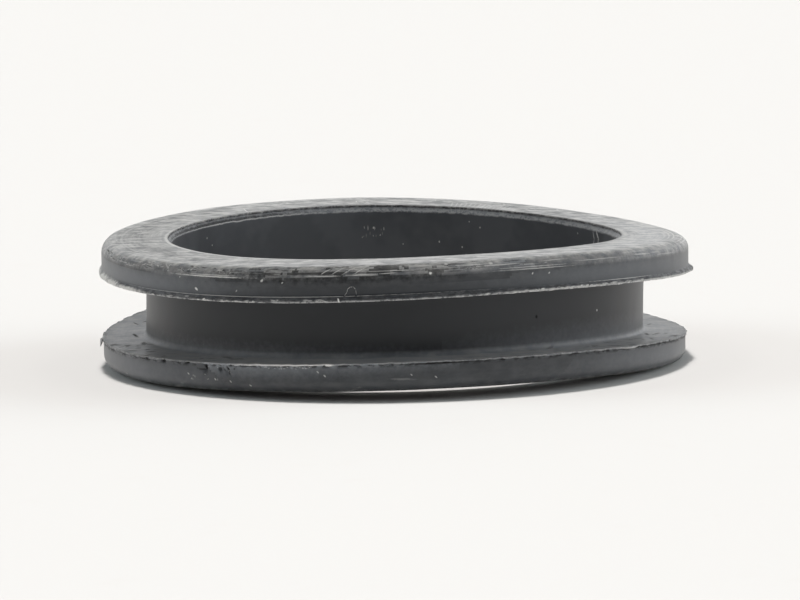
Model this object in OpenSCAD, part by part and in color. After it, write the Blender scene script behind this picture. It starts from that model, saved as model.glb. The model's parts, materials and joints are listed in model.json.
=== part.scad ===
// Panel grommet moulded in one piece from black rubber.
// A plain ring: two flat flanges joined by a neck, with a round bore through all of it.
// The edge of a round panel hole sits in the groove between the flanges.
// The origin is the centre of the lower face, and +Z runs up the bore axis.

/* [Bore] */
// Diameter of the bore that a cable bundle or a pipe passes through
bore_d = 58; // [20:0.5:100]
// How far the torn ledge round the bore's upper rim is cut back into the flange
rim_ledge_w = 0.4; // [0.1:0.05:0.8]
// Depth of the square step at the top of that ledge
rim_step_h = 0.3; // [0.1:0.05:0.8]
// Height of the ledge's sloping face, below the step
rim_slope_h = 0.5; // [0.1:0.05:1]

/* [Groove] */
// Thickness of the neck's wall, from the bore to the bottom of the groove
neck_wall = 3.25; // [1.5:0.05:8]
// Width of the groove, which takes the panel's thickness
groove_w = 7.9; // [2:0.1:20]
// Depth of the groove, which is how far each flange stands out past the neck
groove_depth = 5.75; // [2:0.25:15]
// Radius of the fillet at each corner of the groove
root_r = 0.5; // [0.2:0.1:0.9]

/* [Flanges] */
// Thickness of the lower flange, from its groove face to its outer face
lower_flange_t = 3.6; // [2.8:0.1:8]
// Thickness of the upper flange, made where the mould plates stood a little apart
upper_flange_t = 4.2; // [2.8:0.1:8]
// Radius of the rounded shoulder on each flange's outer edge
shoulder_r = 1.5; // [0.4:0.1:2]

/* [Moulding flash] */
// How far the flash stands out from the upper flange's wall
upper_flash_reach = 0.4; // [0.1:0.05:0.8]
// Thickness of that flash where it leaves the wall
upper_flash_root_t = 0.65; // [0.4:0.05:0.8]
// Thickness of that flash at its torn outer edge
upper_flash_edge_t = 0.35; // [0.1:0.05:0.4]
// How far the trimmed flash stands out from the lower flange's wall
lower_flash_reach = 0.15; // [0.05:0.05:0.6]
// Thickness of the trimmed flash where it leaves the wall
lower_flash_root_t = 0.35; // [0.25:0.05:0.8]
// Thickness of the trimmed flash at its outer edge
lower_flash_edge_t = 0.2; // [0.05:0.05:0.25]

/* [Hidden] */

bore_r = bore_d / 2;
neck_r = bore_r + neck_wall;
flange_r = neck_r + groove_depth;
overall_h = lower_flange_t + groove_w + upper_flange_t;
fillet_r = min(root_r, groove_w / 2, groove_depth);
round_fn = 96;   // curves in the section
turn_fn = 240;   // steps of the section round the bore axis
past_face = 1;   // how far a cut runs past the face that it opens

// A quarter of a disc, with its corner at the origin: it rounds an outside corner.
module quarter_disc(r) {
    intersection() {
        circle(r = r, $fn = round_fn);
        square(r);
    }
}

// The web that fills an inside corner at the origin with a fillet.
module fillet_web(r) {
    difference() {
        square(r);
        translate([r, r]) circle(r = r, $fn = round_fn);
    }
}

// Flash: the thin fin of rubber left where the mould plates met, standing out from a flange's wall.
module flash_section(reach, root_t, edge_t) {
    polygon([
        [flange_r - edge_t, 0],
        [flange_r + reach, 0],
        [flange_r + reach, edge_t],
        [flange_r, root_t],
        [flange_r - edge_t, root_t],
    ]);
}

// Half section of one flange, with its groove face on the X axis and its rounded shoulder above.
module flange_section(flange_t, flash_reach, flash_root_t, flash_edge_t) {
    shoulder_at = [flange_r - shoulder_r, flange_t - shoulder_r];
    union() {
        translate([bore_r, 0]) square([shoulder_at[0] - bore_r, flange_t]);
        translate([shoulder_at[0], 0]) square([shoulder_r, shoulder_at[1]]);
        translate(shoulder_at) quarter_disc(shoulder_r);
        flash_section(flash_reach, flash_root_t, flash_edge_t);
    }
}

// Half section of the neck, with a fillet at each corner of the groove.
module neck_section() {
    union() {
        translate([bore_r, 0]) square([neck_wall, groove_w]);
        translate([neck_r, 0]) fillet_web(fillet_r);
        translate([neck_r, groove_w]) mirror([0, 1]) fillet_web(fillet_r);
    }
}

// What the torn ledge takes off the bore's upper rim: a square step with a slope below it.
module rim_cut() {
    step_z = overall_h - rim_step_h;
    polygon([
        [bore_r - past_face, step_z - rim_slope_h],
        [bore_r, step_z - rim_slope_h],
        [bore_r + rim_ledge_w, step_z],
        [bore_r + rim_ledge_w, overall_h + past_face],
        [bore_r - past_face, overall_h + past_face],
    ]);
}

// Half section of the whole ring.
module grommet_section() {
    difference() {
        union() {
            translate([0, lower_flange_t]) mirror([0, 1])
                flange_section(lower_flange_t, lower_flash_reach, lower_flash_root_t, lower_flash_edge_t);
            translate([0, lower_flange_t]) neck_section();
            translate([0, lower_flange_t + groove_w])
                flange_section(upper_flange_t, upper_flash_reach, upper_flash_root_t, upper_flash_edge_t);
        }
        rim_cut();
    }
}

module grommet() {
    color("dimgray") rotate_extrude($fn = turn_fn) grommet_section();
}

grommet();
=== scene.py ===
"""Looks of a moulded rubber panel grommet: the ring, its torn flash, its scuffs and dust, and the studio."""

import json
import logging
import math
import random
from dataclasses import dataclass, field
from enum import Enum

import bmesh
import bpy
from mathutils import Matrix, Vector, noise


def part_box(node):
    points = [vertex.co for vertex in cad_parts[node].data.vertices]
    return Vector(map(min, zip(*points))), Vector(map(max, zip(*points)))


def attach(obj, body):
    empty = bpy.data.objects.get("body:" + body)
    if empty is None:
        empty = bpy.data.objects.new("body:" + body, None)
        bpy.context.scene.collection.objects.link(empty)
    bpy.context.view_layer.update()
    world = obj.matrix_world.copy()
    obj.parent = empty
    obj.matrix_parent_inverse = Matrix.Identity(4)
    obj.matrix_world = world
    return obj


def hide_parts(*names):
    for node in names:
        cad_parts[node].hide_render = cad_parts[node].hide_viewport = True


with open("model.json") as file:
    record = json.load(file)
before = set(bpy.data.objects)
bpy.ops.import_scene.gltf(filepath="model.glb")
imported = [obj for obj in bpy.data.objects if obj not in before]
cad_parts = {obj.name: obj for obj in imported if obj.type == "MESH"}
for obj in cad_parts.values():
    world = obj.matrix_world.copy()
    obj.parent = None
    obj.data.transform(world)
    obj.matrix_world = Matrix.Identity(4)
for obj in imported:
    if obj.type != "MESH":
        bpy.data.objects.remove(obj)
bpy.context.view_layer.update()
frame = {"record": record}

logging.basicConfig(level=logging.INFO, format="%(message)s")
LOG = logging.getLogger("grommet")

MM = 0.001  # metres in a millimetre
UNROLLED = "unrolled"  # UV map in millimetres: round the ring, and along the outline of its section
BAKE_MAP = "OFBake"  # UV map that holds the ring in two strips, for the baked copy only
Colour = tuple[float, float, float, float]


def linear(code: str, alpha: float = 1.0) -> Colour:
    """Turns an sRGB hex code into linear light.

    Args:
        code: six hex digits, with or without a leading #.
        alpha: the fourth number of the result.

    Returns:
        Linear red, green and blue, and alpha.
    """
    parts = [int(code.lstrip("#")[i:i + 2], 16) / 255 for i in (0, 2, 4)]
    low, high = [[c / 12.92 for c in parts], [((c + 0.055) / 1.055) ** 2.4 for c in parts]]
    return (*[lo if c <= 0.04045 else hi for c, lo, hi in zip(parts, low, high)], alpha)


def add(tree: bpy.types.NodeTree, kind: str, inputs: dict | None = None,
        **settings: object) -> bpy.types.Node:
    """Adds a node with its settings and links.

    Args:
        tree: the material's or world's nodes.
        kind: the node's type, without its ShaderNode prefix.
        inputs: what goes into each input, by its name or number: a value, or an output to link.
        settings: the node's own properties.

    Returns:
        The new node.
    """
    made = tree.nodes.new("ShaderNode" + kind)
    for name, value in settings.items():
        setattr(made, name, value)
    for key, value in (inputs or {}).items():
        if isinstance(value, bpy.types.NodeSocket):
            tree.links.new(value, made.inputs[key])
        else:
            made.inputs[key].default_value = value
    return made


def bump(offset: float, half: float) -> float:
    """A smooth hill: 1 at offset 0, and 0 from half outwards."""
    return max(0.0, 1 - (offset / half) ** 2) ** 2


def share_of(part: float) -> float:
    """Limits a share to between 0 and 1."""
    return min(max(part, 0.0), 1.0)


def rough(along: float, scale: float, seed: float) -> float:
    """Even noise from -1 to 1 round the ring.

    Args:
        along: the angle in radians.
        scale: how long one wave is, in metres on the flange's wall.
        seed: which of many such noises.

    Returns:
        The noise, which closes on itself after a turn.
    """
    reach = 38 * MM / scale
    return noise.noise(Vector((math.cos(along) * reach, math.sin(along) * reach, seed)))


class Face(Enum):
    """A stretch of the section that a mark or a dent lies on, and how a place on it is given."""

    TOP = "upper face, by radius in millimetres"
    SHOULDER = "upper shoulder, by degrees up from the wall"
    WALL = "upper flange's wall, by height in millimetres"
    FIN = "edge of the upper flash, by height in millimetres"
    NECK = "neck, by height in millimetres"
    CHEEK = "lower flange's groove face, by radius in millimetres"
    LIP = "edge of the lower flash, by height in millimetres"
    LOW_WALL = "lower flange's wall, by height in millimetres"
    LOW_SHOULDER = "lower shoulder, by degrees down from the wall"
    BORE = "bore, by height in millimetres"
    UNDER = "lower face, by radius in millimetres"


@dataclass(frozen=True)
class Corner:
    """A corner of the section, and how closely the rings stand on the side that leaves it."""

    radius: float
    height: float
    spacing: float
    rounding: float = 0.0

    @property
    def point(self) -> Vector:
        """Where the corner is in the XZ plane."""
        return Vector((self.radius, 0.0, self.height))


@dataclass
class Section:
    """The half section of the grommet, with its sizes in metres.

    The fin is the flash round the upper flange, the lip is the trimmed flash round the lower one, and the
    cheek is the lower flange's groove face. The ledge is the torn one at the bore's upper rim.
    """

    flange_r: float
    bore_r: float
    top_z: float
    neck_r: float = 32.25 * MM
    cheek_z: float = 3.6 * MM
    under_z: float = 11.5 * MM  # height of the upper flange's groove face
    shoulder: float = 1.5 * MM
    fillet: float = 0.5 * MM
    fin_reach: float = 0.4 * MM
    fin_edge: float = 0.35 * MM
    fin_root: float = 0.65 * MM
    lip_reach: float = 0.15 * MM
    lip_edge: float = 0.2 * MM
    lip_root: float = 0.35 * MM
    ledge: float = 0.4 * MM
    step: float = 0.3 * MM
    slope: float = 0.5 * MM
    outline: list[tuple[float, float, float]] = field(default_factory=list)

    @property
    def foot_z(self) -> float:
        """Height of the foot of the torn ledge in the bore."""
        return self.top_z - self.step - self.slope

    @property
    def length(self) -> float:
        """Length of the whole outline."""
        (x0, z0, _), (x1, z1, last) = self.outline[0], self.outline[-1]
        return last + math.hypot(x1 - x0, z1 - z0)

    def corners(self) -> list[Corner]:
        """Lists the corners of the section, and how closely the rings stand between them.

        Returns:
            The corners in order, from the foot of the ledge down the bore and round the outside.
        """
        wide, mid, fine = 1.5 * MM, 0.8 * MM, 0.3 * MM
        fin_r = self.flange_r + self.fin_reach
        lip_r = self.flange_r + self.lip_reach
        return [
            Corner(self.bore_r, self.foot_z, fine),
            Corner(self.bore_r, self.foot_z - 1.2 * MM, wide),
            Corner(self.bore_r, 0.0, wide, 0.25 * MM),
            Corner(self.flange_r, 0.0, fine, self.shoulder),
            Corner(self.flange_r, self.cheek_z - self.lip_root, fine),
            Corner(lip_r, self.cheek_z - self.lip_edge, fine / 2),
            Corner(lip_r, self.cheek_z, fine),
            Corner(self.flange_r - 1.0 * MM, self.cheek_z, mid),
            Corner(self.neck_r, self.cheek_z, mid, self.fillet),
            Corner(self.neck_r, self.under_z, mid, self.fillet),
            Corner(self.flange_r - 0.6 * MM, self.under_z, fine),
            Corner(fin_r, self.under_z, fine / 2),
            Corner(fin_r, self.under_z + self.fin_edge, fine),
            Corner(self.flange_r, self.under_z + self.fin_root, fine),
            Corner(self.flange_r, self.top_z, mid, self.shoulder),
            Corner(self.bore_r + self.ledge + 0.9 * MM, self.top_z, fine),
            Corner(self.bore_r + self.ledge, self.top_z, fine / 2),
            Corner(self.bore_r + self.ledge, self.top_z - self.step, fine / 2),
        ]

    def draw(self, bm: bmesh.types.BMesh) -> list[bmesh.types.BMVert]:
        """Draws the section in the XZ plane and measures its outline.

        Args:
            bm: the mesh to draw in.

        Returns:
            The outline's vertices in order, from the foot of the ledge.
        """
        corners = self.corners()
        verts = [bm.verts.new(corner.point) for corner in corners]
        for pair in zip(verts, verts[1:] + verts[:1]):
            bm.edges.new(pair)
        for vert, corner in zip(verts, corners):
            if corner.rounding:
                bmesh.ops.bevel(bm, geom=[vert], offset=corner.rounding, offset_type="OFFSET",
                                segments=7 if corner.rounding > 1 * MM else 4,
                                profile=0.5, affect="VERTICES", material=-1)
        for edge in list(bm.edges):
            here = (edge.verts[0].co + edge.verts[1].co) / 2
            for corner, after in zip(corners, corners[1:] + corners[:1]):
                run = after.point - corner.point
                share = (here - corner.point).dot(run) / run.length_squared
                off_side = (here - corner.point - run * share).length
                if off_side < 1e-7 and 0 < share < 1:
                    cuts = math.ceil(edge.calc_length() / corner.spacing) - 1
                    if cuts:
                        bmesh.ops.subdivide_edges(bm, edges=[edge], cuts=cuts)
                    break
        return self.walk(bm)

    def walk(self, bm: bmesh.types.BMesh) -> list[bmesh.types.BMVert]:
        """Lists the outline's vertices in order and stores their places and distances along it.

        Args:
            bm: the mesh that holds the section alone.

        Returns:
            The vertices in order.
        """
        foot = Vector((self.bore_r, 0.0, self.foot_z))
        start = min(bm.verts, key=lambda v: (v.co - foot).length)
        path = [start]
        step = min((e.other_vert(start) for e in start.link_edges), key=lambda v: v.co.z)
        while step is not start:
            path.append(step)
            step = next(e.other_vert(step) for e in step.link_edges if e.other_vert(step) is not path[-2])
        distance = 0.0
        for last, vert in zip([start] + path, path):
            distance += (vert.co - last.co).length
            self.outline.append((vert.co.x, vert.co.z, distance))
        return path

    def point(self, face: Face, at: float) -> tuple[float, float]:
        """Finds a place of the section.

        Args:
            face: the stretch of the section.
            at: where on it, in the way that the face gives its places.

        Returns:
            The radius and the height, in metres.
        """
        out, up = self.shoulder * math.cos(math.radians(at)), self.shoulder * math.sin(math.radians(at))
        return {
            Face.TOP: (at * MM, self.top_z),
            Face.SHOULDER: (self.flange_r - self.shoulder + out, self.top_z - self.shoulder + up),
            Face.WALL: (self.flange_r, at * MM),
            Face.FIN: (self.flange_r + self.fin_reach, at * MM),
            Face.NECK: (self.neck_r, at * MM),
            Face.CHEEK: (at * MM, self.cheek_z),
            Face.LIP: (self.flange_r + self.lip_reach, at * MM),
            Face.LOW_WALL: (self.flange_r, at * MM),
            Face.LOW_SHOULDER: (self.flange_r - self.shoulder + out, self.shoulder - up),
            Face.BORE: (self.bore_r, at * MM),
            Face.UNDER: (at * MM, 0.0),
        }[face]

    def across(self, radius: float, height: float) -> float:
        """Finds how far along the outline a point is.

        Args:
            radius: the point's distance from the bore axis.
            height: the point's height over the lower face.

        Returns:
            The distance along the outline, in metres, of the outline's nearest point.
        """
        closed = self.outline + [(*self.outline[0][:2], self.length)]
        best = (1e9, 0.0)
        for (x0, z0, d0), (x1, z1, d1) in zip(closed, closed[1:]):
            size = max(d1 - d0, 1e-9)
            t = share_of(((radius - x0) * (x1 - x0) + (height - z0) * (z1 - z0)) / size ** 2)
            gap = math.hypot(radius - x0 - t * (x1 - x0), height - z0 - t * (z1 - z0))
            best = min(best, (gap, d0 + t * (d1 - d0)))
        return best[1]


@dataclass(frozen=True)
class Warp:
    """How a ring that has lain in a bag stands off flat.

    Its faces rise and fall in waves that grow with the radius, its lower flange has drawn in and slipped, and
    as it rests it leans a little and is pressed flat at its lowest place.
    """

    reach: float = 38.37 * MM  # radius at which the waves are measured
    # each flange's waves there, as shares of that radius: cosine and sine of two round the ring, then of three
    upper: tuple[float, ...] = (-0.0140, -0.0143, -0.0032, -0.0024)
    lower: tuple[float, ...] = (-0.0240, -0.0153, 0.0010, -0.0046)
    tuck: float = 0.25 * MM  # how far the lower flange's edge has drawn in
    slip: float = 0.12 * MM  # how far the lower flange sits to the left of the upper one
    lean: float = 0.953  # how far the warped ring leans as it rests, in degrees
    hinge: tuple[float, float, float] = (0.763, 0.6465, 0.0)  # level line that it leans about
    squash: float = 0.3 * MM  # how far the rubber is pressed flat where it touches the floor

    def shift(self, point: Vector, section: Section) -> Vector:
        """How far a point of the flat ring has moved once the ring is warped.

        Args:
            point: the point on the flat ring.
            section: the section, for the height of the groove and the radius of the neck.

        Returns:
            The move, in metres.
        """
        turn = math.atan2(point.y, point.x)
        out = math.hypot(point.x, point.y) / self.reach
        up = share_of((point.z - section.cheek_z) / (section.under_z - section.cheek_z))
        waves = [low + (high - low) * up for low, high in zip(self.lower, self.upper)]
        twos_cos, twos_sin, threes_cos, threes_sin = waves
        rise = self.reach * (
            out ** 2 * (twos_cos * math.cos(2 * turn) + twos_sin * math.sin(2 * turn))
            + out ** 3 * (threes_cos * math.cos(3 * turn) + threes_sin * math.sin(3 * turn))
        )
        past_neck = share_of((out * self.reach - section.neck_r) / (self.reach - section.neck_r))
        drawn = self.tuck * (1 - up) * past_neck
        return Vector((-drawn * math.cos(turn) - self.slip * (1 - up), -drawn * math.sin(turn), rise))


Place = tuple[float, float]  # an angle in degrees, and where it is on its face


@dataclass(frozen=True)
class Dent:
    """A nick or dent in the rubber, or a raised bit where the depth is below zero. Sizes in millimetres."""

    face: Face
    place: Place
    along: float
    across: float
    depth: float


class Tone(Enum):
    """What a mark leaves on the rubber, and the name of the layer of the mesh that holds such marks. Pale
    marks are dust and torn rubber, and also painted highlights. Dark marks are pits and spots, and also
    painted shade. The film is partly bloom and partly painted light where the sides catch it.
    """

    PALE = "dust_torn_rubber_and_painted_highlights"
    DARK = "pits_spots_and_painted_shade"
    HAZE_AND_SIDE_LIGHT = "pale_film_and_painted_side_light"

    @property
    def soft(self) -> float:
        """How much of such a mark's half width its edge fades over."""
        return 0.9 if self is Tone.HAZE_AND_SIDE_LIGHT else 0.6

    @property
    def ragged(self) -> float:
        """How far such a mark's edge wanders, as a share of its width."""
        return 0.25 if self is Tone.HAZE_AND_SIDE_LIGHT else 1.0


@dataclass(frozen=True)
class Mark:
    """A scratch, speck, smear or stain: a stroke from one place to another. Widths in millimetres."""

    face: Face
    start: Place
    stop: Place | None
    width: float
    strength: float = 1.0
    tone: Tone = Tone.PALE


@dataclass
class Ring:
    """The grommet itself, moulded in one piece."""

    section: Section
    warp: Warp
    dents: list[Dent]
    marks: list[Mark]
    sectors: int = 120  # steps of the section round the bore axis
    cuts: int = 6  # cuts across each step
    seam: float = 45.0  # degrees: where the unrolled maps are cut, on the far right, where few marks lie
    swell: float = 0.05 * MM  # how uneven the surfaces are in long waves
    swell_wave: float = 9 * MM
    ripple: float = 0.015 * MM  # and in short ones
    ripple_wave: float = 2.5 * MM
    raised: float = 0.0  # how far the middle of the lower face stands over the floor

    def unroll(self, turn: float) -> float:
        """Millimetres round the flange's wall from the seam to an angle in radians."""
        return (turn - math.radians(self.seam)) % math.tau * self.section.flange_r / MM

    def build(self) -> bpy.types.Object:
        """Makes the ring's mesh and its object.

        Returns:
            The object, at the origin, with its place in its mesh.
        """
        bm = bmesh.new()
        across = bm.verts.layers.float.new("across")
        radius = bm.verts.layers.float.new("radius")
        for vert, (_, _, distance) in zip(self.section.draw(bm), self.section.outline):
            vert[across] = distance
            vert[radius] = vert.co.x
        outline = list(bm.verts) + list(bm.edges)
        bmesh.ops.spin(bm, geom=outline, cent=(0, 0, 0), axis=(0, 0, 1), dvec=(0, 0, 0), angle=math.tau,
                       steps=self.sectors, use_merge=True, use_normal_flip=False, use_duplicate=False)
        rings = [e for e in bm.edges if abs(e.verts[0][across] - e.verts[1][across]) < 1e-7]
        bmesh.ops.subdivide_edges(bm, edges=rings, cuts=self.cuts, use_grid_fill=True)
        for vert in bm.verts:
            stretch = vert[radius] / math.hypot(vert.co.x, vert.co.y)
            vert.co.x *= stretch
            vert.co.y *= stretch
        bmesh.ops.remove_doubles(bm, verts=bm.verts, dist=1e-7)
        bmesh.ops.recalc_face_normals(bm, faces=bm.faces)
        self.lay_maps(bm, across)
        self.stamp(bm)
        self.wear(bm, across)
        self.bend(bm)
        for face in bm.faces:
            face.smooth = True
        mesh = bpy.data.meshes.new("rubber_ring")
        bm.to_mesh(mesh)
        bm.free()
        ring = bpy.data.objects.new("rubber_ring", mesh)
        bpy.context.scene.collection.objects.link(ring)
        return ring

    def lay_maps(self, bm: bmesh.types.BMesh, across: bmesh.types.BMLayerItem) -> None:
        """Lays the two UV maps.

        Args:
            bm: the flat ring.
            across: the layer of distances along the outline.
        """
        unrolled = bm.loops.layers.uv.new(UNROLLED)
        bake = bm.loops.layers.uv.new(BAKE_MAP)
        round_mm = math.tau * self.section.flange_r / MM
        length = self.section.length
        margin = 0.006  # free edge round each strip of the bake's map
        for face in bm.faces:
            middle = face.calc_center_median()
            centre = self.unroll(math.atan2(middle.y, middle.x))
            last = max(loop.vert[across] for loop in face.loops) > length / 2
            for loop in face.loops:
                u = self.unroll(math.atan2(loop.vert.co.y, loop.vert.co.x))
                u += round_mm * round((centre - u) / round_mm)
                v = loop.vert[across]
                if last and v < length / 4:
                    v += length
                loop[unrolled].uv = (u, v / MM)
                strip = int(centre >= round_mm / 2)
                share = u / round_mm * 2 - strip
                loop[bake].uv = (margin + (1 - 2 * margin) * share,
                                 strip / 2 + margin + (0.5 - 2 * margin) * v / length)

    def stamp(self, bm: bmesh.types.BMesh) -> None:
        """Gives the faces near each mark that mark's own coordinates, in one layer for each tone.

        The coordinates run from -1 to 1 along and across the mark's stroke, and the third is its strength.
        A face holds one mark of each tone, the nearest. A stroke is straight on the unrolled map, so one
        whose ends lie on both sides of the seam runs the long way round.

        Args:
            bm: the flat ring, with its unrolled map.
        """
        unrolled = bm.loops.layers.uv[UNROLLED]
        degree = math.radians(1) * self.section.flange_r / MM
        columns: dict[int, list[tuple[bmesh.types.BMFace, list[Vector]]]] = {}
        for face in bm.faces:
            corners = [loop[unrolled].uv.copy() for loop in face.loops]
            columns.setdefault(int(corners[0].x / degree), []).append((face, corners))
        for tone in Tone:
            layer = bm.loops.layers.float_vector.new(tone.value)
            nearest: dict[bmesh.types.BMFace, float] = {}
            limit = 1.5 + tone.soft
            for mark in (m for m in self.marks if m.tone is tone):
                start, stop = [Vector((self.unroll(math.radians(angle)),
                                       self.section.across(*self.section.point(mark.face, at)) / MM))
                               for angle, at in (mark.start, mark.stop or mark.start)]
                run = stop - start
                ahead = run.normalized() if run.length else Vector((1.0, 0.0))
                side = ahead.orthogonal()
                middle, half, width = (start + stop) / 2, (run.length + mark.width) / 2, mark.width / 2
                reach = limit * (abs(ahead.x) * half + abs(side.x) * width)
                first, last = int((middle.x - reach) / degree) - 1, int((middle.x + reach) / degree) + 1
                for column in range(first, last + 1):
                    for face, corners in columns.get(column, []):
                        along = [(corner - middle).dot(ahead) / half for corner in corners]
                        over = [(corner - middle).dot(side) / width for corner in corners]
                        if max(min(along), -max(along), min(over), -max(over)) > limit:
                            continue
                        beyond = max(abs(sum(along) / len(along)) - 1, 0) * half
                        gap = math.hypot(beyond, sum(over) / len(over) * width)
                        if gap < nearest.get(face, 1e9):
                            nearest[face] = gap
                            for loop, x, y in zip(face.loops, along, over):
                                loop[layer] = (x, y, mark.strength)

    def dented(self, bm: bmesh.types.BMesh,
               across: bmesh.types.BMLayerItem) -> dict[bmesh.types.BMVert, float]:
        """Works out how far each dent moves the vertices near it.

        Args:
            bm: the flat ring.
            across: the layer of distances along the outline.

        Returns:
            How far each vertex moves outwards along its normal, in metres.
        """
        columns: dict[int, list[bmesh.types.BMVert]] = {}
        for vert in bm.verts:
            columns.setdefault(round(math.degrees(math.atan2(vert.co.y, vert.co.x))) % 360, []).append(vert)
        pushes: dict[bmesh.types.BMVert, float] = {}
        for dent in self.dents:
            angle, at = dent.place
            here = self.section.across(*self.section.point(dent.face, at))
            reach = math.ceil(math.degrees(dent.along * MM / self.section.bore_r)) + 1
            for degree in range(round(angle) - reach, round(angle) + reach + 1):
                for vert in columns.get(degree % 360, []):
                    turn = math.degrees(math.atan2(vert.co.y, vert.co.x)) - angle
                    turn = math.radians((turn + 180) % 360 - 180)
                    along = turn * self.section.flange_r / (dent.along * MM)
                    over = (vert[across] - here) / (dent.across * MM)
                    depth = bump(math.hypot(along, over), 1.0) * dent.depth * MM
                    pushes[vert] = pushes.get(vert, 0.0) - depth
        return pushes

    def wear(self, bm: bmesh.types.BMesh, across: bmesh.types.BMLayerItem) -> None:
        """Tears the flash and the ledge, cuts the nicks, and makes the surfaces slightly uneven.

        Args:
            bm: the flat ring.
            across: the layer of distances along the outline.
        """
        s = self.section
        pushes = self.dented(bm, across)
        for vert in bm.verts:
            spot = vert.co.copy()
            turn = math.atan2(spot.y, spot.x)
            out = math.hypot(spot.x, spot.y)
            uneven = noise.noise(spot / self.swell_wave) * self.swell
            uneven += noise.noise(spot / self.ripple_wave) * self.ripple
            vert.co += vert.normal * (pushes.get(vert, 0.0) + uneven)
            if out > s.flange_r + 1e-6:
                upper = spot.z > s.cheek_z + 1 * MM
                reach, fall = self.fin_tear(turn, spot.z) if upper else self.lip_tear(turn, spot.z)
                grown = (out - s.flange_r) * (reach - 1)
                vert.co += Vector((math.cos(turn) * grown, math.sin(turn) * grown, -fall))
            round_end = vert[across] if vert[across] < s.length / 2 else vert[across] - s.length
            near_foot = bump(round_end, 1.0 * MM)
            if near_foot:
                tear = rough(turn, 1.6 * MM, 3.0) * 0.1 + rough(turn, 0.5 * MM, 4.0) * 0.05
                vert.co.z += near_foot * tear * MM
            near_step = bump(math.hypot(out - s.bore_r - s.ledge, spot.z - s.top_z + s.step), 0.25 * MM)
            if near_step:
                vert.co.z += near_step * rough(turn, 0.6 * MM, 8.0) * 0.1 * MM

    def fin_tear(self, turn: float, height: float) -> tuple[float, float]:
        """How the upper flash is torn at an angle.

        Args:
            turn: the angle in radians.
            height: height over the lower face, on the whole ring.

        Returns:
            Its reach as a share of the plain reach, and how far it hangs down in metres.
        """
        degrees = (math.degrees(turn) + 180) % 360 - 180
        ragged = 0.3 + 0.5 * bump(degrees + 145, 40) + 0.4 * bump(degrees + 60, 25)
        torn = 0.82 + ragged * (0.35 * rough(turn, 1.4 * MM, 1.0) + 0.3 * rough(turn, 0.45 * MM, 2.0))
        tab = 0.75 * bump(degrees + 5.5, 6.0)
        low = share_of((self.section.under_z + self.section.fin_edge - height) / self.section.fin_edge)
        fall = low * ragged * max(0.0, rough(turn, 0.9 * MM, 7.0)) * 0.15 * MM
        return torn + tab, fall

    def lip_tear(self, turn: float, height: float) -> tuple[float, float]:
        """How the trimmed lower flash is torn at an angle.

        Args:
            turn: the angle in radians.
            height: height over the lower face, on the whole ring.

        Returns:
            Its reach as a share of the plain reach, and how far it hangs down in metres.
        """
        # from the left end, so that the curl there isn't cut in two
        degrees = (math.degrees(turn) + 360) % 360 - 180
        curl = bump(degrees - 2.6, 2.6)
        low = share_of((self.section.cheek_z - height) / self.section.lip_edge)
        reach = 0.9 + 1.3 * rough(turn, 1.9 * MM, 5.0) + 0.8 * rough(turn, 0.7 * MM, 6.0) + 2.4 * curl
        fall = (rough(turn, 0.9 * MM, 9.0) * 0.1 + curl * (0.35 + 0.8 * low)) * MM
        return reach, fall

    def bend(self, bm: bmesh.types.BMesh) -> None:
        """Warps the ring, leans it and stands it on the floor, and notes how far its middle is raised.

        Rubber that would lie below the floor is pressed flat on it.

        Args:
            bm: the flat ring.
        """
        for vert in bm.verts:
            vert.co += self.warp.shift(vert.co, self.section)
        lean = Matrix.Rotation(math.radians(self.warp.lean), 3, self.warp.hinge)
        bmesh.ops.rotate(bm, verts=bm.verts, cent=(0, 0, 0), matrix=lean)
        self.raised = -min(vert.co.z for vert in bm.verts) - self.warp.squash
        for vert in bm.verts:
            vert.co.z = max(vert.co.z + self.raised, 0.0)


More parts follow.
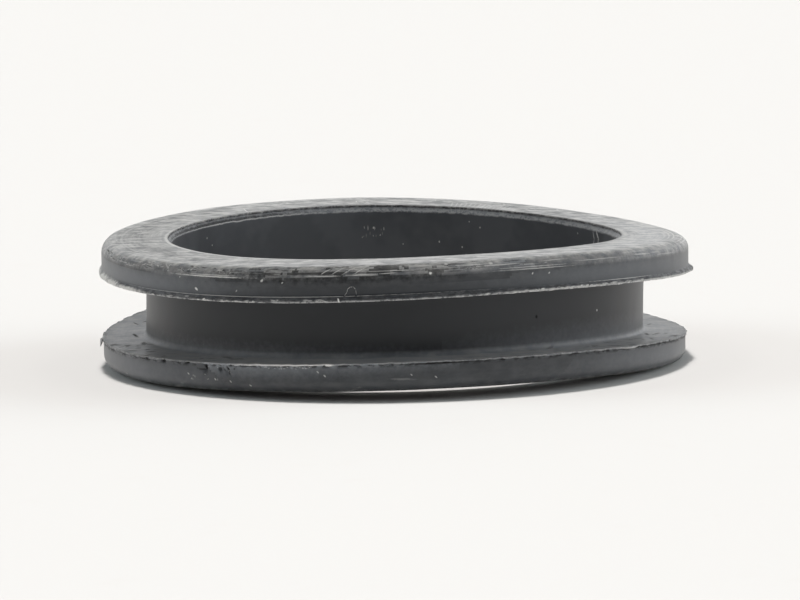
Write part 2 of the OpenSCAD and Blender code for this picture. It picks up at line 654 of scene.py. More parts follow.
@dataclass(frozen=True)
class BlackRubber:
    """Carbon-black rubber, compression moulded.

    It is nearly black, and pale grey where light grazes the thin bloom and dust on it. The bloom is slightly
    blue, wiped and scuffed faces are paler and smoother, torn edges are paler and rougher, and dust shows as
    light specks. Shade is painted dark under the lip, on the lower flange's rounded edge and on the ledge's
    step. A pale line is painted as a highlight along the near edges of the bore and of the lip. The film is
    laid on thicker as painted light where the walls and the groove face catch the side light.
    """

    body: str = "#0A1017"
    # the bloom, and painted light on the sides of the walls and on the groove face
    film_and_painted_light: str = "#A3A9B0"
    scuff: str = "#CDCBC7"
    torn: str = "#BBBCBC"
    # dust and torn rubber, and painted highlights along the near edges
    dust_and_highlight: str = "#E9E9E6"
    # pits, and painted shade under the lip, on the lower flange's edge and on the ledge's step
    pit_and_shade: str = "#040405"
    rough: float = 0.42  # of the moulded skin
    wiped: float = 0.28  # roughness of the wiped and scuffed faces
    scuffed: float = 0.6  # roughness of torn rubber and dust
    pitted: float = 0.95  # roughness of pits
    bloom: float = 0.15  # weight of the sheen that the bloom gives
    bloom_tint: str = "#ECEBE8"
    refraction: float = 1.5
    relief: float = 0.06 * MM  # height of the grain

    def zones(self, s: Section) -> list[tuple[float, Colour]]:
        """How much film, scuffing, tearing, and grime and painted shade each stretch of the outline has.

        Args:
            s: the section.

        Returns:
            Distances along the outline with the four shares as red, green, blue and alpha, in order.
        """
        fin_r, lip_r, ledge_r = s.flange_r + s.fin_reach, s.flange_r + s.lip_reach, s.bore_r + s.ledge
        fin_top = s.under_z + s.fin_root
        shares = [
            ((s.bore_r, s.foot_z), (0.5, 0.1, 0.6, 0.0)),
            ((s.bore_r, s.foot_z - 0.1 * MM), (0.2, 0.0, 0.0, 0.0)),
            ((s.bore_r, 1.0 * MM), (0.14, 0.0, 0.0, 0.0)),
            ((s.flange_r - 2 * MM, 0.0), (0.2, 0.5, 0.0, 0.0)),
            # painted shade on the lower flange's rounded edge, where it turns under towards the floor
            (s.point(Face.LOW_SHOULDER, 65), (0.1, 0.1, 0.0, 0.7)),
            (s.point(Face.LOW_SHOULDER, 40), (0.1, 0.05, 0.0, 0.0)),
            ((s.flange_r, s.cheek_z - s.lip_root - 0.15 * MM), (0.08, 0.02, 0.0, 0.0)),
            # painted shadow under the overhang of the lip
            ((s.flange_r, s.cheek_z - s.lip_root), (0.1, 0.0, 0.0, 1.0)),
            ((lip_r, s.cheek_z - s.lip_edge), (0.1, 0.0, 0.0, 1.0)),
            ((lip_r, s.cheek_z - 0.1 * MM), (0.1, 0.1, 0.1, 0.3)),
            ((lip_r, s.cheek_z), (0.6, 0.4, 0.9, 0.0)),
            # heavy film on the groove face: partly bloom, partly painted light on this face, which the upper
            # flange shades
            ((s.flange_r - 0.2 * MM, s.cheek_z), (0.85, 0.75, 0.3, 0.0)),
            ((s.neck_r + 0.5 * MM, s.cheek_z), (0.75, 0.5, 0.0, 0.0)),
            ((s.neck_r, s.cheek_z + 0.8 * MM), (0.02, 0.0, 0.0, 0.0)),
            ((s.flange_r - 0.5 * MM, s.under_z), (0.0, 0.0, 0.0, 0.0)),
            ((fin_r - 0.06 * MM, s.under_z), (0.2, 0.3, 0.9, 0.0)),
            ((fin_r, s.under_z + 0.06 * MM), (0.2, 0.3, 1.0, 0.0)),
            ((fin_r, s.under_z + 0.13 * MM), (0.1, 0.1, 0.0, 0.4)),
            ((s.flange_r + 0.1 * MM, fin_top - 0.06 * MM), (0.1, 0.1, 0.0, 0.4)),
            ((s.flange_r + 0.02 * MM, fin_top), (0.2, 0.3, 1.0, 0.0)),
            ((s.flange_r, fin_top + 0.06 * MM), (0.06, 0.0, 0.0, 0.0)),
            ((s.flange_r, s.top_z - s.shoulder), (0.08, 0.05, 0.0, 0.0)),
            (s.point(Face.SHOULDER, 15), (0.2, 0.35, 0.1, 0.2)),
            (s.point(Face.SHOULDER, 68), (0.2, 1.0, 0.3, 0.0)),
            ((s.flange_r - s.shoulder - 1.0 * MM, s.top_z), (0.2, 1.0, 0.1, 0.0)),
            ((ledge_r + 1.3 * MM, s.top_z), (0.2, 1.0, 0.1, 0.0)),
            ((ledge_r + 0.5 * MM, s.top_z), (0.4, 1.0, 0.6, 0.0)),
            ((ledge_r, s.top_z), (0.4, 1.0, 1.0, 0.0)),
            # painted shade on the step's face, under the edge of the ledge
            ((ledge_r, s.top_z - 0.1 * MM), (0.0, 0.0, 0.0, 1.0)),
            ((ledge_r, s.top_z - s.step + 0.05 * MM), (0.2, 0.1, 0.1, 0.7)),
            ((s.bore_r + s.ledge * 0.8, s.top_z - s.step - s.slope * 0.2), (0.45, 0.15, 0.2, 0.0)),
        ]
        stops = [(s.across(*place), share) for place, share in shares]
        return stops + [(s.length, stops[0][1])]

    def dress(self, ring: bpy.types.Object, section: Section) -> None:
        """Makes the material and gives it to the ring.

        Args:
            ring: the ring's object, with the layers of its marks.
            section: the ring's section.
        """
        rubber = bpy.data.materials.new("moulded_black_rubber")
        rubber.use_nodes = True
        tree = rubber.node_tree
        tree.nodes.clear()
        place = add(tree, "TexCoord").outputs["Object"]
        mm = add(tree, "VectorMath", {0: place, "Scale": 1 / MM}, operation="SCALE").outputs[0]
        unrolled = add(tree, "UVMap", uv_map=UNROLLED).outputs["UV"]
        over = add(tree, "SeparateXYZ", {0: unrolled}).outputs["Y"]
        flat = add(tree, "SeparateXYZ", {0: mm})
        # places for wipes that run from side to side, and then for streaks that run round the ring
        wiped = add(tree, "VectorMath", {0: mm, 1: (0.35, 1.0, 1.0)}, operation="MULTIPLY").outputs[0]
        stretched = []
        for around, across in ((0.12, 1.0), (0.35, 1.0)):
            sources = (("X", flat.outputs["X"], around), ("Y", flat.outputs["Y"], around),
                       ("Z", over, across))
            parts = {axis: add(tree, "Math", {0: source, 1: scale}, operation="MULTIPLY").outputs[0]
                     for axis, source, scale in sources}
            stretched.append(add(tree, "CombineXYZ", parts).outputs[0])
        hoops, dashes = stretched
        # noises by the length of one wave, in millimetres. The last is the skin's grain, drawn coarser than
        # the real rubber's, which is too fine to show
        noises = ((mm, 8.0, 3), (mm, 1.8, 8), (wiped, 1.0, 7), (mm, 0.8, 3),
                  (hoops, 0.4, 4), (dashes, 0.35, 3), (mm, 0.3, 2), (mm, 0.2, 2))
        cloud, mottle, wipe, fleck, streak, dash, crumb, grain = [
            add(tree, "TexNoise", {"Vector": vector, "Scale": 1 / wave, "Detail": detail,
                                   "Roughness": 0.62}).outputs[0] for vector, wave, detail in noises]

        # the zones along the outline, with a border that wanders by up to 0.1 mm
        shake = add(tree, "Math", {0: fleck, 1: 0.2, 2: -0.1}, operation="MULTIPLY_ADD").outputs[0]
        shaken = add(tree, "Math", {0: over, 1: shake}, operation="ADD").outputs[0]
        share = add(tree, "Math", {0: shaken, 1: section.length / MM}, operation="DIVIDE").outputs[0]
        ramp = add(tree, "ValToRGB", {0: share})
        stops = self.zones(section)
        elements = ramp.color_ramp.elements
        elements.remove(elements[-1])
        elements[0].position, elements[0].color = 0.0, stops[0][1]
        for distance, colour in stops[1:]:
            elements.new(min(distance / section.length, 1.0)).color = colour
        zone = add(tree, "SeparateColor", {0: ramp.outputs["Color"]})

        # each mask: two noises, the sums of them between which it comes in, and the least that it is
        scratchy = add(tree, "Mix", {0: 0.4, 2: mottle, 3: streak}).outputs[0]
        masks = {}
        for name, one, other, low, high, least in (
                ("film_and_painted_light", cloud, cloud, 0.8, 1.2, 0.75), ("scuff", scratchy, wipe, 0.82, 1.2, 0.1),
                ("torn", dash, crumb, 0.86, 1.06, 0.0), ("grime_and_shade", dash, fleck, 0.92, 1.08, 0.0)):
            both = add(tree, "Math", {0: one, 1: other}, operation="ADD").outputs[0]
            noisy = add(tree, "MapRange", {0: both, 1: low, 2: high, 3: least, 4: 1.0},
                        interpolation_type="SMOOTHSTEP").outputs[0]
            channel = ramp.outputs["Alpha"] if name == "grime_and_shade" else zone.outputs[len(masks)]
            masks[name] = add(tree, "Math", {0: channel, 1: noisy}, operation="MULTIPLY").outputs[0]
        # the marks: pale ones are dust, torn rubber and painted highlights, dark ones are pits and painted
        # shade, and the film ones are bloom and painted side light
        pale, dark, haze_and_side_light = self.paint(tree, mm)
        film_and_painted_light = add(tree, "Math", {0: masks["film_and_painted_light"], 1: haze_and_side_light}, operation="ADD", use_clamp=True).outputs[0]
        # painted shade: the zones' grime share under the lip, on the lower flange's edge and on the ledge's
        # step, together with the dark marks
        pits_and_shade = add(tree, "Math", {0: masks["grime_and_shade"], 1: dark}, operation="MAXIMUM").outputs[0]

        colour = linear(self.body)
        for mask, paint in ((film_and_painted_light, self.film_and_painted_light), (masks["scuff"], self.scuff), (masks["torn"], self.torn),
                            (pits_and_shade, self.pit_and_shade), (pale, self.dust_and_highlight)):
            colour = add(tree, "Mix", {0: mask, 6: colour, 7: linear(paint)}, data_type="RGBA").outputs[2]
        rubbed = add(tree, "Math", {0: masks["torn"], 1: pale}, operation="MAXIMUM").outputs[0]
        gloss = add(tree, "Mix", {0: masks["scuff"], 2: self.rough, 3: self.wiped}).outputs[0]
        gloss = add(tree, "Mix", {0: rubbed, 2: gloss, 3: self.scuffed}).outputs[0]
        gloss = add(tree, "Mix", {0: pits_and_shade, 2: gloss, 3: self.pitted}).outputs[0]
        height = add(tree, "Math", {0: grain, 1: 0.3, 2: masks["torn"]}, operation="MULTIPLY_ADD").outputs[0]
        height = add(tree, "Math", {0: pits_and_shade, 1: -0.8, 2: height}, operation="MULTIPLY_ADD").outputs[0]
        shape = add(tree, "Bump", {"Height": height, "Strength": 0.3, "Distance": self.relief})
        shader = add(tree, "BsdfPrincipled", {
            "Base Color": colour, "Roughness": gloss, "Normal": shape.outputs[0], "IOR": self.refraction,
            "Sheen Weight": self.bloom, "Sheen Roughness": 0.4, "Sheen Tint": linear(self.bloom_tint)})
        add(tree, "OutputMaterial", {"Surface": shader.outputs[0]})
        ring.data.materials.append(rubber)

    def paint(self, tree: bpy.types.NodeTree, mm: bpy.types.NodeSocket) -> list[bpy.types.NodeSocket]:
        """Paints the marks from the layers that hold their coordinates.

        Args:
            tree: the material's nodes.
            mm: places on the ring, in millimetres.

        Returns:
            The masks of the marks, one for each tone in order.
        """
        shiver = add(tree, "TexNoise", {"Vector": mm, "Scale": 1 / 0.7, "Detail": 4, "Roughness": 0.65})
        centred = add(tree, "VectorMath", {0: shiver.outputs["Color"], 1: (0.5, 0.5, 0.5)},
                      operation="SUBTRACT")
        masks = []
        for tone in Tone:
            local = add(tree, "Attribute", attribute_name=tone.value).outputs["Vector"]
            strength = add(tree, "SeparateXYZ", {0: local}).outputs["Z"]
            reach = (2 * tone.ragged, 2 * tone.ragged, 0.0)
            wobble = add(tree, "VectorMath", {0: centred.outputs[0], 1: reach}, operation="MULTIPLY")
            moved = add(tree, "VectorMath", {0: local, 1: (1.0, 1.0, 0.0), 2: wobble.outputs[0]},
                        operation="MULTIPLY_ADD")
            far = add(tree, "VectorMath", {0: moved.outputs[0]}, operation="LENGTH").outputs["Value"]
            faded = {0: far, 1: 1 + tone.soft, 2: 1 - tone.soft, 3: 0.0, 4: strength}
            masks.append(add(tree, "MapRange", faded, interpolation_type="SMOOTHSTEP").outputs[0])
        return masks


@dataclass(frozen=True)
class PaleCard:
    """Matt card, uncoated: an even pale grey with faint warmer clouds in it, and no gloss."""

    plain: str = "#C5C1BE"
    cloud: str = "#B8A9A1"
    wave: float = 14 * MM  # how wide a cloud is
    most: float = 0.12  # how strong a cloud is at the most

    def dress(self, floor: bpy.types.Object) -> None:
        """Makes the material and gives it to the floor.

        Args:
            floor: the floor's object.
        """
        card = bpy.data.materials.new("matt_pale_card")
        card.use_nodes = True
        tree = card.node_tree
        tree.nodes.clear()
        place = add(tree, "TexCoord").outputs["Object"]
        noisy = add(tree, "TexNoise", {"Vector": place, "Scale": 1 / self.wave, "Detail": 6,
                                       "Roughness": 0.7}).outputs[0]
        tone = add(tree, "MapRange", {0: noisy, 1: 0.6, 2: 0.8, 3: 0.0, 4: self.most}).outputs[0]
        colour = add(tree, "Mix", {0: tone, 6: linear(self.plain), 7: linear(self.cloud)}, data_type="RGBA")
        shader = add(tree, "BsdfDiffuse", {"Color": colour.outputs[2]})
        add(tree, "OutputMaterial", {"Surface": shader.outputs[0]})
        floor.data.materials.append(card)


@dataclass(frozen=True)
class Lamp:
    """A soft lamp: how bright it is, where it stands, and its colour."""

    name: str
    given: float  # what it gives a level floor, in watts per square metre
    tilt: float = 0.0  # degrees from straight above towards the front
    turn: float = 0.0  # degrees from the front round to the right
    wide: float = 3.0  # how wide it looks, in degrees
    colour: str = "#FFFFFF"

    def hang(self) -> bpy.types.Object:
        """Adds the lamp, which shows in no gloss.

        Returns:
            The lamp's object.
        """
        light = bpy.data.lights.new(self.name, "SUN")
        light.energy = self.given / math.cos(math.radians(self.tilt))
        light.color = linear(self.colour)[:3]
        light.angle = math.radians(self.wide)
        made = bpy.data.objects.new(self.name, light)
        tilted = Matrix.Rotation(math.radians(self.tilt), 4, "X")
        made.matrix_world = Matrix.Rotation(math.radians(self.turn), 4, "Z") @ tilted
        made.visible_glossy = False
        bpy.context.scene.collection.objects.link(made)
        return made


@dataclass(frozen=True)
class Panel:
    """A soft white panel, low down on one side of the tent.

    Its edge and its middle are where it fades in, as shares of the way from the ring along its axis.
    """

    axis: str
    edge: float
    middle: float
    bright: float


@dataclass
class Studio:
    """A pale floor in soft light, and the camera."""

    raised: float  # how far the middle of the ring's lower face stands over the floor
    distance: float = 498.9 * MM  # from the camera to what it aims at
    elevation: float = 6.963  # degrees that it looks down
    turned: float = -0.079  # degrees that it looks to the right
    roll: float = -1.0536  # degrees that it is rolled anticlockwise
    aside: float = 0.683 * MM  # how far to the right of the bore axis it aims
    aim_height: float = 6.804 * MM  # how high over the ring's lower face it aims
    lens: float = 172.6  # millimetres
    sensor: float = 36.0  # millimetres
    floor_r: float = 3.0
    tent_white: str = "#FDFEFF"
    backdrop: str = "#FAF9F7"
    overhead: Lamp = Lamp("overhead", 1.3, wide=8, colour="#FFFFFD")
    # these light the floor alone: one straight down, for the tight shadow, and the others from both sides,
    # for the soft one round it
    floor_lamps: tuple[Lamp, ...] = (
        Lamp("floor_0", 2.2),
        Lamp("floor_1", 0.12, 30, -94, 14),
        Lamp("floor_2", 0.48, 68, -94, 40, "#E4F8FF"),
        Lamp("floor_3", 0.132, 30, 94, 14),
        Lamp("floor_4", 0.528, 68, 94, 40, "#E4F8FF"),
    )
    panels: tuple[Panel, ...] = (
        Panel("X", 0.2, 1.0, 1.3),
        Panel("X", -0.4, -1.0, 0.54),
        Panel("Y", 0.6, 1.0, 1.2),
    )

    def place_camera(self) -> None:
        """Adds the camera, slightly above the ring and some way in front of it."""
        tilt, roll = math.radians(self.elevation), math.radians(self.roll)
        turned = math.radians(self.turned)
        aside, away = math.sin(turned) * math.cos(tilt), math.cos(turned) * math.cos(tilt)
        ahead = Vector((aside, away, -math.sin(tilt)))
        right = ahead.cross(Vector((0, 0, 1))).normalized()
        up = right.cross(ahead)
        right, up = (right * math.cos(roll) + up * math.sin(roll),
                     up * math.cos(roll) - right * math.sin(roll))
        turn = Matrix((right, up, -ahead)).transposed()
        camera = bpy.data.objects.new("camera", bpy.data.cameras.new("camera"))
        camera.data.lens = self.lens
        camera.data.sensor_width = self.sensor
        aim = Vector((self.aside, 0, self.aim_height + self.raised))
        camera.matrix_world = Matrix.Translation(aim - ahead * self.distance) @ turn.to_4x4()
        bpy.context.scene.collection.objects.link(camera)
        bpy.context.scene.camera = camera

    def lay_floor(self) -> bpy.types.Object:
        """Lays a wide round floor of matt card.

        Returns:
            The floor's object.
        """
        bm = bmesh.new()
        bmesh.ops.create_circle(bm, cap_ends=True, segments=96, radius=self.floor_r)
        mesh = bpy.data.meshes.new("floor")
        bm.to_mesh(mesh)
        bm.free()
        floor = bpy.data.objects.new("floor", mesh)
        bpy.context.scene.collection.objects.link(floor)
        PaleCard().dress(floor)
        return floor

    def pitch_tent(self) -> None:
        """Makes the world.

        It lights the ring from low white panels at both sides and behind, with a faint fill above them. The
        camera sees a plain pale backdrop instead.
        """
        world = bpy.data.worlds.new("tent")
        bpy.context.scene.world = world
        world.use_nodes = True
        tree = world.node_tree
        tree.nodes.clear()
        way = add(tree, "SeparateXYZ", {0: add(tree, "TexCoord").outputs["Generated"]})
        glow = 0.0
        for panel in self.panels:
            lit = {0: way.outputs[panel.axis], 1: panel.edge, 2: panel.middle, 3: 0.0, 4: panel.bright}
            shone = add(tree, "MapRange", lit, interpolation_type="SMOOTHSTEP").outputs[0]
            glow = add(tree, "Math", {0: shone, 1: glow}, operation="ADD").outputs[0]
        # the panels fade out upwards, and a faint fill comes in above them
        low = add(tree, "MapRange", {0: way.outputs["Z"], 1: 0.3, 2: 0.85, 3: 1.0, 4: 0.0},
                  interpolation_type="SMOOTHSTEP").outputs[0]
        fill = add(tree, "MapRange", {0: way.outputs["Z"], 1: 0.1, 2: 0.45, 3: 0.0, 4: 0.08},
                   interpolation_type="SMOOTHSTEP").outputs[0]
        glow = add(tree, "Math", {0: glow, 1: low, 2: fill}, operation="MULTIPLY_ADD").outputs[0]
        tent = add(tree, "Background", {"Color": linear(self.tent_white), "Strength": glow})
        plain = add(tree, "Background", {"Color": linear(self.backdrop), "Strength": 1.0})
        seen = add(tree, "LightPath").outputs["Is Camera Ray"]
        both = add(tree, "MixShader", {0: seen, 1: tent.outputs[0], 2: plain.outputs[0]})
        add(tree, "OutputWorld", {"Surface": both.outputs[0]})

    def hang_lamps(self, floor: bpy.types.Object) -> None:
        """Hangs the lamp over the ring, and the lamps that light the floor alone.

        Args:
            floor: the floor's object.
        """
        floor_only = bpy.data.collections.new("floor_only")
        floor_only.objects.link(floor)
        self.overhead.hang()
        for lamp in self.floor_lamps:
            lamp.hang().light_linking.receiver_collection = floor_only

    def set_up(self) -> None:
        """Builds the studio and sets how colours are shown."""
        bpy.context.scene.view_settings.view_transform = "Standard"
        self.place_camera()
        floor = self.lay_floor()
        self.pitch_tent()
        self.hang_lamps(floor)


def nicks() -> list[Dent]:
    """The nicks, dents and raised bits in the rubber.

    Returns:
        The nicks and dents.
    """
    return [
        Dent(Face.LOW_WALL, (-127.8, 2.75), 0.4, 0.8, 0.6),
        Dent(Face.LOW_WALL, (-124.1, 2.85), 0.35, 0.5, 0.45),
        Dent(Face.LOW_WALL, (-122.6, 2.65), 0.35, 0.5, 0.45),
        Dent(Face.LIP, (-138.9, 3.45), 0.5, 0.4, 0.4),
        Dent(Face.LIP, (-144.6, 3.5), 0.3, 0.3, 0.25),
        Dent(Face.LIP, (-132.2, 3.5), 0.35, 0.3, 0.3),
        Dent(Face.LIP, (-39.5, 3.4), 2.2, 0.3, -0.3),
        Dent(Face.SHOULDER, (-124.3, 37.0), 0.7, 0.45, -0.12),
        Dent(Face.CHEEK, (-153.6, 34.8), 0.5, 0.4, 0.1),
    ]


def strewn(seed: int, count: int, face: Face, angles: Place, places: Place, runs: Place, widths: Place,
           strengths: Place, tone: Tone = Tone.PALE) -> list[Mark]:
    """Strews short strokes over a stretch at random, the same on every run.

    Args:
        seed: which of many such strewings.
        count: how many strokes.
        face: the stretch of the section.
        angles: the least and the greatest angle, in degrees.
        places: the least and the greatest place on the face.
        runs: the longest stroke's length round the ring in degrees, and across it in the face's own unit.
        widths: the least and the greatest width, in millimetres.
        strengths: the least and the greatest strength.
        tone: what the strokes leave.

    Returns:
        The marks.
    """
    chance = random.Random(seed)
    marks = []
    for _ in range(count):
        angle, at = chance.uniform(*angles), chance.uniform(*places)
        run, rise = chance.uniform(0.0, runs[0]), chance.uniform(-runs[1], runs[1])
        marks.append(Mark(face, (angle, at), (angle + run, at + rise), chance.uniform(*widths),
                          chance.uniform(*strengths), tone))
    return marks


def top_marks() -> list[Mark]:
    """The scratches, wipes and specks on the upper face and its shoulder, with a painted highlight along the
    near edge of the bore, and dark bands across the front of the shoulder that are partly scuffing and partly
    painted shade.

    Returns:
        The marks.
    """
    top, edge = Face.TOP, Face.SHOULDER
    marks = [
        Mark(top, (128.8, 32.9), (132.3, 29.5), 0.25),
        Mark(top, (171.0, 35.3), (165.0, 29.4), 0.2, 0.5),
        Mark(top, (115.0, 32.3), (114.7, 30.1), 0.25, 0.8),
        Mark(top, (114.7, 30.1), (111.5, 30.6), 0.3, 0.8),
        Mark(top, (120.7, 30.8), (118.0, 30.9), 0.3, 0.8),
        Mark(top, (-156.0, 35.3), (-155.7, 32.0), 0.5, 0.35),
        Mark(top, (-148.2, 31.5), (-145.2, 31.3), 0.8, 0.4),
        Mark(top, (-148.8, 34.5), (-134.0, 35.6), 0.7, 0.35),
        Mark(edge, (-138.1, 38.0), (-137.7, 56.0), 0.2, 0.6),
        Mark(edge, (-139.0, 54.0), (-138.0, 38.0), 0.18, 0.4),
        Mark(edge, (-134.0, 11.0), (-119.0, 10.0), 0.13, 0.9),
        Mark(edge, (-132.0, 18.0), (-121.0, 18.0), 0.1, 0.6),
        Mark(edge, (-70.0, 4.0), (-56.5, 4.0), 0.1, 0.5),
        Mark(edge, (-70.0, 14.0), (-56.5, 13.0), 0.1, 0.6),
        Mark(edge, (-80.5, 60.0), None, 0.5, 0.6),
        Mark(edge, (-72.0, 43.0), None, 0.45, 0.6),
        Mark(edge, (-83.5, 13.5), None, 0.3),
        # dark bands across the front of the shoulder: partly dark scuffing, partly painted shade
        Mark(edge, (-160.0, 34.0), (-126.0, 44.0), 1.1, 0.4, Tone.DARK),
        Mark(edge, (-124.0, 34.0), (-74.0, 34.0), 2.2, 0.75, Tone.DARK),
        Mark(edge, (-74.0, 30.0), (-38.0, 30.0), 1.5, 0.45, Tone.DARK),
        Mark(top, (-215.0, 33.4), (-140.0, 33.4), 5.5, 0.12, Tone.DARK),
        # painted highlight along the near edge of the bore
        Mark(top, (-200.0, 29.65), (-96.0, 29.65), 0.42, 1.0),
        Mark(top, (-9.0, 29.8), (12.0, 29.8), 0.7, 0.6),
        Mark(top, (-88.0, 36.6), (-20.0, 36.6), 1.2, 0.22),
        Mark(edge, (-124.3, 37.0), (-123.4, 42.0), 0.5, 0.8, tone=Tone.DARK),
        Mark(top, (-72.75, 33.2), None, 0.4, tone=Tone.DARK),
        # pale film towards both sides of the shoulder: partly bloom, partly painted light from the sides
        Mark(edge, (-75.0, 40.0), (-20.0, 40.0), 1.6, 0.4, Tone.HAZE_AND_SIDE_LIGHT),
        Mark(edge, (-172.0, 48.0), (-128.0, 60.0), 1.4, 0.5, Tone.HAZE_AND_SIDE_LIGHT),
        # a faint band that runs the long way round, because the seam lies between its ends
        Mark(top, (76.0, 31.6), (36.0, 31.6), 2.8, 0.22),
        Mark(top, (-26.0, 33.4), (26.0, 33.4), 5.0, 0.5, Tone.HAZE_AND_SIDE_LIGHT),
    ]
    for angle, radius in ((12.75, 33.2), (8.25, 33.7), (-171.0, 35.2), (-132.0, 35.0)):
        marks.append(Mark(top, (angle, radius), None, 0.5, 0.7))
    for radius, strength in ((35.5, 0.6), (36.1, 0.8)):
        marks.append(Mark(top, (-12.0, radius), (16.0, radius), 0.22, strength))
    for angle_up in (50.0, 66.0):
        marks.append(Mark(edge, (-16.0, angle_up), (12.0, angle_up), 0.18, 0.7))
    for step in range(14):
        angle = 75.0 - 1.15 * step
        marks.append(Mark(top, (angle, 29.8), (angle + 1.2, 33.6), 0.3, 0.45))
    for step in range(4):
        angle = -103.5 + 2.1 * step
        marks.append(Mark(edge, (angle, 28.0), (angle + 1.8, 60.0), 0.12, 0.6))
    marks += strewn(10, 14, edge, (-81.0, -74.5), (24.0, 50.0), (0.3, 9.0), (0.12, 0.3), (0.4, 0.9),
                    Tone.DARK)
    marks += strewn(11, 60, top, (48.0, 122.0), (30.2, 35.5), (3.0, 1.2), (0.2, 0.7), (0.3, 0.9))
    marks += strewn(12, 20, top, (-160.0, -105.0), (30.5, 35.5), (5.0, 0.8), (0.2, 0.7), (0.15, 0.4))
    marks += strewn(13, 20, top, (-60.0, 50.0), (30.0, 36.0), (5.0, 1.5), (0.15, 0.5), (0.15, 0.4))
    marks += strewn(14, 40, top, (165.0, 208.0), (33.0, 36.8), (1.5, 1.0), (0.15, 0.35), (0.2, 0.6))
    marks += strewn(15, 24, edge, (-165.0, -25.0), (15.0, 58.0), (10.0, 3.0), (0.08, 0.16), (0.2, 0.6))
    marks += strewn(16, 60, edge, (-168.0, -112.0), (20.0, 60.0), (2.5, 6.0), (0.1, 0.3), (0.3, 0.8),
                    Tone.DARK)
    marks += strewn(19, 30, edge, (-112.0, -66.0), (14.0, 58.0), (5.0, 3.0), (0.12, 0.3), (0.3, 0.8),
                    Tone.DARK)
    marks += strewn(18, 34, top, (-174.0, -126.0), (30.2, 36.4), (2.0, 2.0), (0.2, 0.7), (0.2, 0.6))
    marks += strewn(17, 40, edge, (-172.0, -120.0), (20.0, 60.0), (0.8, 8.0), (0.1, 0.25), (0.2, 0.6))
    return marks


def wall_marks() -> list[Mark]:
    """The specks on the upper flange's wall, the flakes of its torn flash, and pale film on the wall's two
    ends, which paints the light that they catch from the sides.

    Returns:
        The marks.
    """
    wall, fin, edge = Face.WALL, Face.FIN, Face.SHOULDER
    marks = [
        Mark(wall, (-99.1, 12.3), (-98.7, 12.7), 0.06, 0.45),
        Mark(wall, (-98.7, 12.7), (-98.6, 13.05), 0.05, 0.5),
        Mark(wall, (-98.6, 13.05), (-98.1, 13.3), 0.06, 0.6),
        Mark(wall, (-98.1, 13.3), (-97.5, 13.3), 0.05, 0.5),
        Mark(wall, (-97.5, 13.3), (-97.1, 12.95), 0.06, 0.4),
        Mark(wall, (-97.1, 12.95), (-97.0, 12.4), 0.05, 0.35),
        Mark(wall, (-129.9, 12.9), (-129.6, 12.75), 0.24),
        # pale film on both ends of the wall: painted light where they catch the side light
        Mark(wall, (-176.0, 13.0), (-130.0, 13.1), 2.6, 0.32, Tone.HAZE_AND_SIDE_LIGHT),
        Mark(wall, (-64.0, 13.1), (-14.0, 13.1), 2.6, 0.2, Tone.HAZE_AND_SIDE_LIGHT),
        Mark(fin, (-179.0, 11.8), (-171.0, 11.8), 0.9, 0.9),
        Mark(fin, (-170.6, 11.8), (-163.0, 11.8), 1.2, 1.0),
        Mark(fin, (-162.5, 11.75), (-156.5, 11.75), 1.1, 1.0),
        Mark(fin, (-156.0, 11.7), (-146.5, 11.7), 0.6, 0.9),
        Mark(wall, (-146.0, 12.17), (-84.0, 12.17), 0.09, 0.5),
        Mark(fin, (-69.0, 11.68), (-46.0, 11.66), 0.26, 0.5),
        Mark(fin, (-46.0, 11.66), (-12.0, 11.62), 0.2, 0.45),
        Mark(wall, (-50.0, 12.05), (-34.0, 12.05), 0.1, 0.7),
        Mark(fin, (-100.3, 12.1), (-100.1, 11.3), 0.2),
    ]
    for angle, height, width, strength in (
            (-115.1, 14.1, 0.24, 0.8), (-111.0, 13.9, 0.15, 0.6), (-120.5, 12.8, 0.16, 0.4),
            (-134.1, 14.1, 0.13, 0.5), (-64.0, 13.7, 0.18, 0.7), (-60.5, 13.6, 0.15, 0.6)):
        marks.append(Mark(wall, (angle, height), (angle + 0.1, height + 0.08), width, strength))
    for start, stop, height, strength in (
            (-142.6, -140.4, 11.6, 1.0), (-137.4, -136.2, 11.75, 0.6), (-132.5, -131.6, 12.0, 0.8),
            (-129.3, -126.0, 11.6, 1.0), (-113.0, -111.3, 11.8, 0.7), (-107.3, -102.0, 11.75, 0.5),
            (-124.0, -116.0, 11.6, 0.7), (-73.4, -72.6, 11.7, 0.8), (-69.0, -60.0, 11.7, 0.9),
            (-60.0, -55.0, 11.7, 0.8), (-54.0, -50.0, 11.7, 1.0), (-49.0, -36.0, 11.7, 0.6)):
        marks += strewn(int(-start), math.ceil((stop - start) * 1.6), fin, (start, stop - 0.5),
                        (height - 0.12, height + 0.1), (1.0, 0.08), (0.08, 0.24), (0.6 * strength, strength))
    marks += strewn(21, 24, wall, (0.0, 180.0), (12.5, 14.0), (0.3, 0.2), (0.1, 0.28), (0.4, 0.8))
    marks += strewn(22, 24, fin, (0.0, 180.0), (11.5, 11.75), (1.5, 0.06), (0.1, 0.2), (0.5, 0.9))
    marks += strewn(23, 14, edge, (0.0, 180.0), (12.0, 60.0), (14.0, 6.0), (0.1, 0.2), (0.3, 0.7))
    return marks


